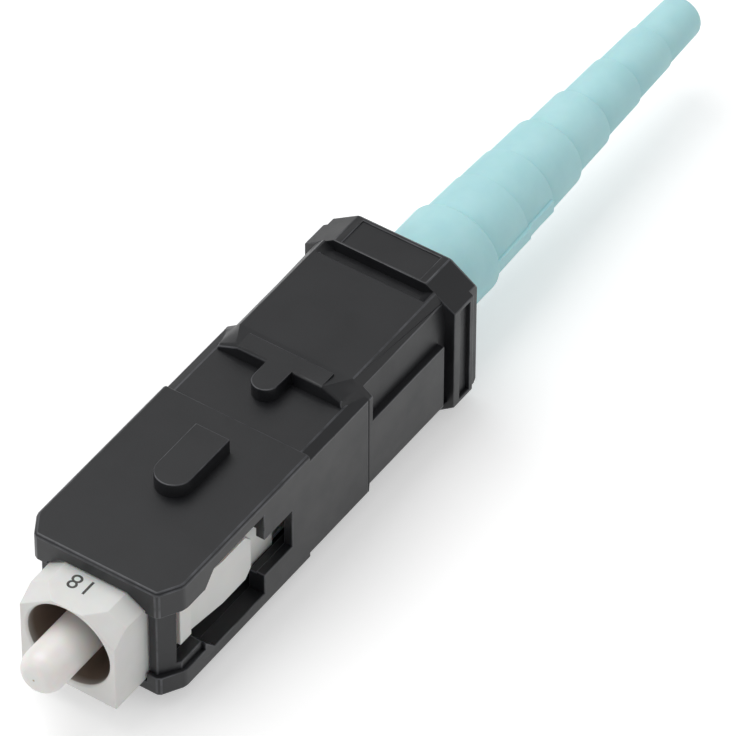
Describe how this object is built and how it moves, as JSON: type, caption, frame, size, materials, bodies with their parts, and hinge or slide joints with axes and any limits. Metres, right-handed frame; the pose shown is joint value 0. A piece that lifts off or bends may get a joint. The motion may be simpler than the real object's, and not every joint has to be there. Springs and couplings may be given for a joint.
{
  "type": "sc fibre connector",
  "caption": "Push-pull fibre plug: keyed black grip over a light plug frame, a sprung ceramic ferrule with a splice behind it, and a long stepped strain-relief boot.",
  "frame": {"origin": "on the ferrule's axis, level with the grip's front face", "axes": "+Y along the axis from the mating end to the boot, +Z towards the key, +X to the right seen from the mating end's rear"},
  "size_m": [0.0094, 0.0596, 0.0092],
  "materials": {
    "zirconia": "ground and polished",
    "fibre_glass": "drawn silica fibre",
    "holder_plastic": "moulded",
    "splice_plastic": "moulded, clear",
    "cam_plastic": "moulded",
    "tube_plastic": "extruded",
    "crimp_metal": "drawn",
    "spring_steel": "coiled wire",
    "retainer_plastic": "moulded",
    "frame_plastic": "moulded, satin",
    "grip_plastic": "moulded, fine grain",
    "boot_rubber": "moulded"
  },
  "bodies": {
    "frame_body": {"plug_frame": "frame_plastic", "spring_retainer": "retainer_plastic", "boot": "boot_rubber", "coil_spring": "spring_steel"},
    "grip_body": {"outer_housing": "grip_plastic"},
    "ferrule_carrier": {"ferrule": "zirconia", "fibre_stub": "fibre_glass", "ferrule_holder": "holder_plastic", "splice_bar_lower": "splice_plastic", "splice_bar_upper": "splice_plastic", "lead_in_tube": "tube_plastic", "crimp_tube": "crimp_metal"},
    "cam_body": {"cam_sleeve": "cam_plastic"}
  },
  "joints": [
    {"name": "grip_slide", "type": "slide", "parent": "frame_body", "child": "grip_body", "axis": [0, 1, 0], "range_m": [-0.0006, 0.0009]},
    {"name": "ferrule_float", "type": "slide", "parent": "frame_body", "child": "ferrule_carrier", "axis": [0, 1, 0], "range_m": [0, 0.001], "stiffness_N_per_m": 1200, "deforming": ["coil_spring"]},
    {"name": "cam_turn", "type": "hinge", "parent": "ferrule_carrier", "child": "cam_body", "pos_m": [0, 0.0175, 0], "axis": [0, 1, 0], "range_deg": [0, 90]}
  ]
}
